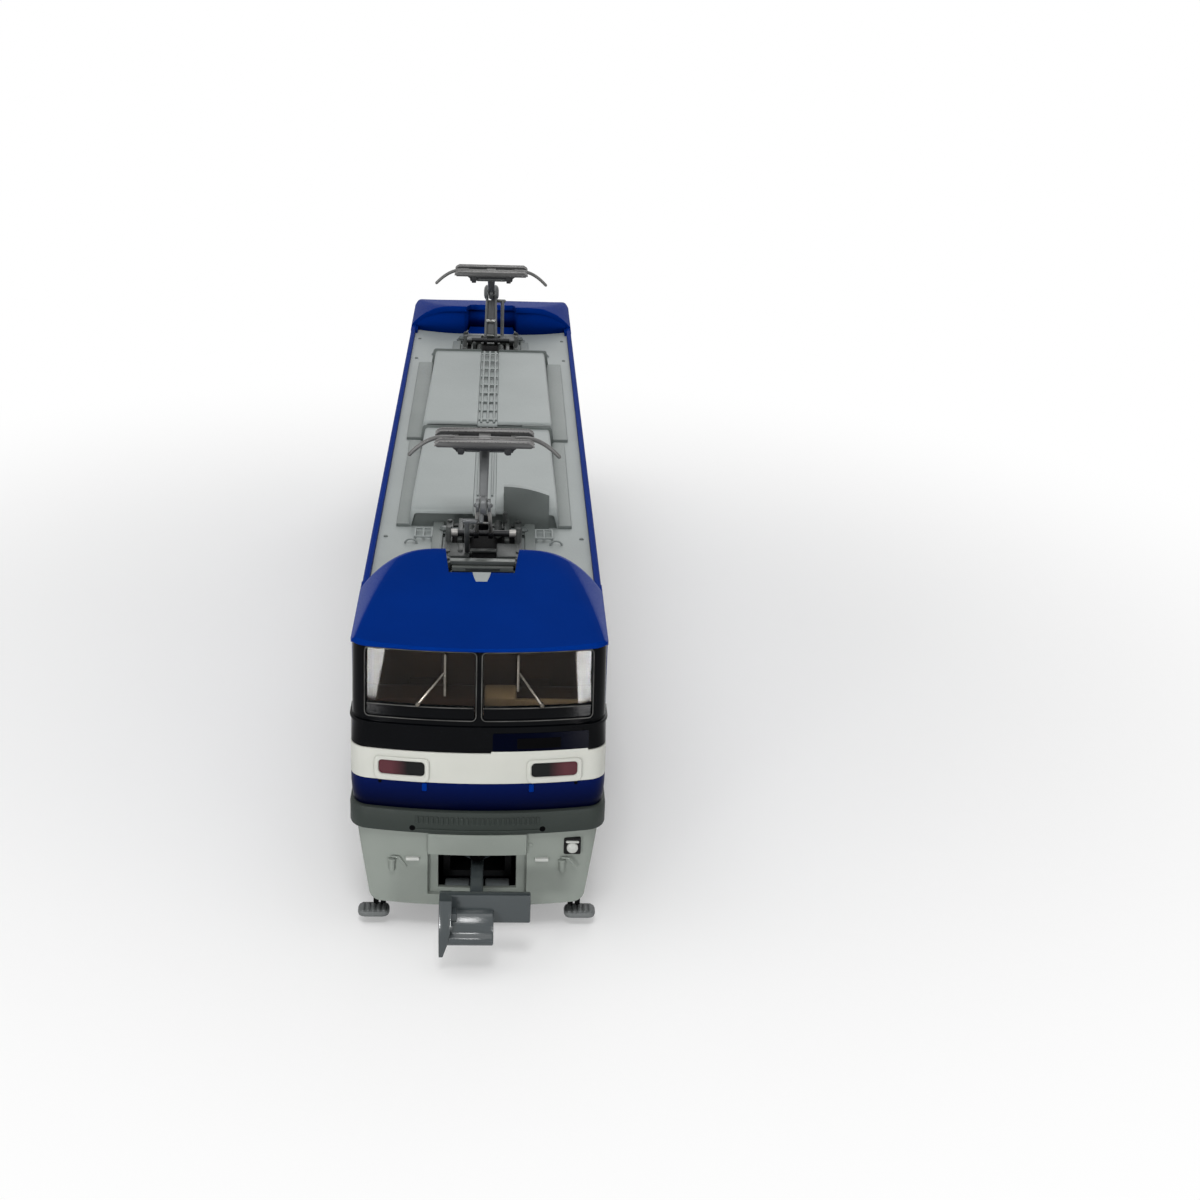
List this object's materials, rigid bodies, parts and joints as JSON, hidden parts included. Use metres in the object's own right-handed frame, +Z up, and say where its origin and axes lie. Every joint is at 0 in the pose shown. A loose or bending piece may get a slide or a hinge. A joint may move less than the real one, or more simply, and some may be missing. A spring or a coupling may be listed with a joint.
{
  "type": "model electric locomotive",
  "caption": "Small scale model of a cab-at-both-ends freight electric locomotive with driven bogies, hook couplers and folding single-arm pantographs.",
  "frame": {"origin": "middle of the locomotive, on the plane that the wheel flanges stand on", "axes": "+X along the track towards the front cab, +Y across the track, +Z up"},
  "size_m": [0.127, 0.019, 0.0322],
  "materials": {
    "body_blue": "satin blue paint over moulded plastic, with a warm white waist stripe",
    "roof_grey": "matt pale grey moulding",
    "busbar_grey": "matt grey moulding",
    "mask_black": "high gloss black print on clear glazing",
    "window_glass": "clear glazing",
    "cab_tan": "matt tan moulding",
    "lamp_lens": "smoky clear lens with a reddish outer half",
    "clear_acrylic": "clear light guide",
    "sill_grey": "matt dark grey",
    "skirt_grey": "satin light grey",
    "step_grey": "matt mid grey",
    "socket_black": "black recess with a pale grey cap",
    "coupler_grey": "semi-gloss blue-grey",
    "chassis_metal": "bare die casting",
    "screw_steel": "zinc plated",
    "motor_steel": "plated can",
    "motor_plastic": "ivory moulding",
    "shaft_steel": "ground steel",
    "brass": "turned brass",
    "gear_plastic": "acetal",
    "board_green": "green circuit board",
    "bogie_grey": "matt dark grey moulding",
    "wheel_steel": "dark plated metal with bright treads",
    "panto_base": "dark greenish grey",
    "panto_arm": "grey metallic",
    "panto_strip": "grey-brown metallic"
  },
  "bodies": {
    "body": {"body_shell": "body_blue", "roof_deck": "roof_grey", "roof_busbar": "busbar_grey", "windscreen_front": "mask_black", "windscreen_rear": "mask_black", "side_windows": "window_glass", "cab_interior_front": "cab_tan", "cab_interior_rear": "cab_tan", "headlamp_lenses": "lamp_lens", "light_guides": "clear_acrylic", "underframe": "sill_grey", "skirt_front": "skirt_grey", "skirt_rear": "skirt_grey", "shunter_steps": "step_grey", "jumper_sockets": "socket_black", "coupler_pocket_front": "step_grey", "coupler_pocket_rear": "step_grey", "chassis_left": "chassis_metal", "chassis_right": "chassis_metal", "chassis_screws": "screw_steel", "motor_can": "motor_steel", "motor_end_bells": "motor_plastic", "worm_bearings": "brass", "circuit_board": "board_green", "pantograph_base_front": "panto_base", "pantograph_base_rear": "panto_base"},
    "rotor": {"rotor_shaft": "shaft_steel", "flywheels": "brass", "worms": "gear_plastic"},
    "bogie_front": {"bogie_frame_front": "bogie_grey", "gearbox_front": "bogie_grey", "keeper_plate_front": "bogie_grey"},
    "bogie_middle": {"bogie_frame_middle": "bogie_grey"},
    "bogie_rear": {"bogie_frame_rear": "bogie_grey", "gearbox_rear": "bogie_grey", "keeper_plate_rear": "bogie_grey"},
    "worm_wheel_front": {"worm_wheel_front": "gear_plastic"},
    "worm_wheel_rear": {"worm_wheel_rear": "gear_plastic"},
    "coupler_front": {"coupler_front": "coupler_grey"},
    "coupler_rear": {"coupler_rear": "coupler_grey"},
    "idler_1": {"idler_1": "gear_plastic"},
    "idler_2": {"idler_2": "gear_plastic"},
    "idler_3": {"idler_3": "gear_plastic"},
    "idler_4": {"idler_4": "gear_plastic"},
    "wheelset_1": {"wheelset_1": "wheel_steel"},
    "wheelset_2": {"wheelset_2": "wheel_steel"},
    "wheelset_3": {"wheelset_3": "wheel_steel"},
    "wheelset_4": {"wheelset_4": "wheel_steel"},
    "wheelset_5": {"wheelset_5": "wheel_steel"},
    "wheelset_6": {"wheelset_6": "wheel_steel"},
    "pantograph_lower_arm_front": {"pantograph_lower_arm_front": "panto_arm"},
    "pantograph_upper_arm_front": {"pantograph_upper_arm_front": "panto_arm"},
    "pantograph_rod_front": {"pantograph_rod_front": "panto_arm"},
    "pantograph_head_front": {"pantograph_head_front": "panto_strip"},
    "pantograph_lower_arm_rear": {"pantograph_lower_arm_rear": "panto_arm"},
    "pantograph_upper_arm_rear": {"pantograph_upper_arm_rear": "panto_arm"},
    "pantograph_rod_rear": {"pantograph_rod_rear": "panto_arm"},
    "pantograph_head_rear": {"pantograph_head_rear": "panto_strip"}
  },
  "joints": [
    {"name": "motor_spin", "type": "hinge", "parent": "body", "child": "rotor", "pos_m": [0, 0, 0.01439], "axis": [1, 0, 0], "continuous": true},
    {"name": "bogie_front_swivel", "type": "hinge", "parent": "body", "child": "bogie_front", "pos_m": [0.035, 0, 0.00435], "axis": [0, 0, 1], "range_deg": [-8, 8]},
    {"name": "bogie_rear_swivel", "type": "hinge", "parent": "body", "child": "bogie_rear", "pos_m": [-0.035, 0, 0.00435], "axis": [0, 0, 1], "range_deg": [-8, 8]},
    {"name": "bogie_middle_slide", "type": "slide", "parent": "body", "child": "bogie_middle", "axis": [0, 1, 0], "range_m": [-0.0015, 0.0015]},
    {"name": "worm_wheel_front_spin", "type": "hinge", "parent": "bogie_front", "child": "worm_wheel_front", "pos_m": [0.035, 0, 0.00996], "axis": [0, 1, 0], "continuous": true},
    {"name": "worm_wheel_rear_spin", "type": "hinge", "parent": "bogie_rear", "child": "worm_wheel_rear", "pos_m": [-0.035, 0, 0.00996], "axis": [0, 1, 0], "continuous": true},
    {"name": "idler_1_spin", "type": "hinge", "parent": "bogie_front", "child": "idler_1", "pos_m": [0.03918, 0, 0.0068], "axis": [0, 1, 0], "continuous": true},
    {"name": "idler_2_spin", "type": "hinge", "parent": "bogie_front", "child": "idler_2", "pos_m": [0.03083, 0, 0.0068], "axis": [0, 1, 0], "continuous": true},
    {"name": "idler_3_spin", "type": "hinge", "parent": "bogie_rear", "child": "idler_3", "pos_m": [-0.03083, 0, 0.0068], "axis": [0, 1, 0], "continuous": true},
    {"name": "idler_4_spin", "type": "hinge", "parent": "bogie_rear", "child": "idler_4", "pos_m": [-0.03918, 0, 0.0068], "axis": [0, 1, 0], "continuous": true},
    {"name": "wheelset_1_spin", "type": "hinge", "parent": "bogie_front", "child": "wheelset_1", "pos_m": [0.04335, 0, 0.00435], "axis": [0, 1, 0], "continuous": true},
    {"name": "wheelset_2_spin", "type": "hinge", "parent": "bogie_front", "child": "wheelset_2", "pos_m": [0.02665, 0, 0.00435], "axis": [0, 1, 0], "continuous": true},
    {"name": "wheelset_3_spin", "type": "hinge", "parent": "bogie_middle", "child": "wheelset_3", "pos_m": [0.00835, 0, 0.00435], "axis": [0, 1, 0], "continuous": true},
    {"name": "wheelset_4_spin", "type": "hinge", "parent": "bogie_middle", "child": "wheelset_4", "pos_m": [-0.00835, 0, 0.00435], "axis": [0, 1, 0], "continuous": true},
    {"name": "wheelset_5_spin", "type": "hinge", "parent": "bogie_rear", "child": "wheelset_5", "pos_m": [-0.02665, 0, 0.00435], "axis": [0, 1, 0], "continuous": true},
    {"name": "wheelset_6_spin", "type": "hinge", "parent": "bogie_rear", "child": "wheelset_6", "pos_m": [-0.04335, 0, 0.00435], "axis": [0, 1, 0], "continuous": true},
    {"name": "coupler_front_swing", "type": "hinge", "parent": "body", "child": "coupler_front", "pos_m": [0.0525, 0, 0.00515], "axis": [0, 0, 1], "range_deg": [-15, 15]},
    {"name": "coupler_rear_swing", "type": "hinge", "parent": "body", "child": "coupler_rear", "pos_m": [-0.0525, 0, 0.00515], "axis": [0, 0, 1], "range_deg": [-15, 15]},
    {"name": "pantograph_front_fold", "type": "hinge", "parent": "body", "child": "pantograph_lower_arm_front", "pos_m": [0.033, 0, 0.02385], "axis": [0, 1, 0], "range_deg": [-8, 34]},
    {"name": "pantograph_front_knee", "type": "hinge", "parent": "pantograph_lower_arm_front", "child": "pantograph_upper_arm_front", "pos_m": [0.0385, 0, 0.02815], "axis": [0, 1, 0], "range_deg": [-58, 14]},
    {"name": "pantograph_front_level", "type": "hinge", "parent": "pantograph_upper_arm_front", "child": "pantograph_head_front", "pos_m": [0.03251, 0, 0.03107], "axis": [0, 1, 0], "range_deg": [-6, 24]},
    {"name": "pantograph_front_rod", "type": "hinge", "parent": "body", "child": "pantograph_rod_front", "pos_m": [0.03615, 0, 0.0232], "axis": [0, 1, 0], "range_deg": [-12, 49]},
    {"name": "pantograph_rear_fold", "type": "hinge", "parent": "body", "child": "pantograph_lower_arm_rear", "pos_m": [-0.033, 0, 0.02385], "axis": [0, -1, 0], "range_deg": [-8, 34]},
    {"name": "pantograph_rear_knee", "type": "hinge", "parent": "pantograph_lower_arm_rear", "child": "pantograph_upper_arm_rear", "pos_m": [-0.0385, 0, 0.02815], "axis": [0, -1, 0], "range_deg": [-58, 14]},
    {"name": "pantograph_rear_level", "type": "hinge", "parent": "pantograph_upper_arm_rear", "child": "pantograph_head_rear", "pos_m": [-0.03251, 0, 0.03107], "axis": [0, -1, 0], "range_deg": [-6, 24]},
    {"name": "pantograph_rear_rod", "type": "hinge", "parent": "body", "child": "pantograph_rod_rear", "pos_m": [-0.03615, 0, 0.0232], "axis": [0, -1, 0], "range_deg": [-12, 49]}
  ],
  "couplings": [
    {"joint": "worm_wheel_front_spin", "follows": "motor_spin", "ratio": 0.071429},
    {"joint": "worm_wheel_rear_spin", "follows": "motor_spin", "ratio": 0.071429},
    {"joint": "idler_1_spin", "follows": "motor_spin", "ratio": -0.083333},
    {"joint": "idler_2_spin", "follows": "motor_spin", "ratio": -0.083333},
    {"joint": "idler_3_spin", "follows": "motor_spin", "ratio": -0.083333},
    {"joint": "idler_4_spin", "follows": "motor_spin", "ratio": -0.083333},
    {"joint": "wheelset_1_spin", "follows": "motor_spin", "ratio": 0.083333},
    {"joint": "wheelset_2_spin", "follows": "motor_spin", "ratio": 0.083333},
    {"joint": "wheelset_5_spin", "follows": "motor_spin", "ratio": 0.083333},
    {"joint": "wheelset_6_spin", "follows": "motor_spin", "ratio": 0.083333},
    {"joint": "pantograph_front_knee", "follows": "pantograph_front_fold", "ratio": -1.67},
    {"joint": "pantograph_front_level", "follows": "pantograph_front_fold", "ratio": 0.67},
    {"joint": "pantograph_front_rod", "follows": "pantograph_front_fold", "ratio": 1.405},
    {"joint": "pantograph_rear_knee", "follows": "pantograph_rear_fold", "ratio": -1.67},
    {"joint": "pantograph_rear_level", "follows": "pantograph_rear_fold", "ratio": 0.67},
    {"joint": "pantograph_rear_rod", "follows": "pantograph_rear_fold", "ratio": 1.405}
  ]
}
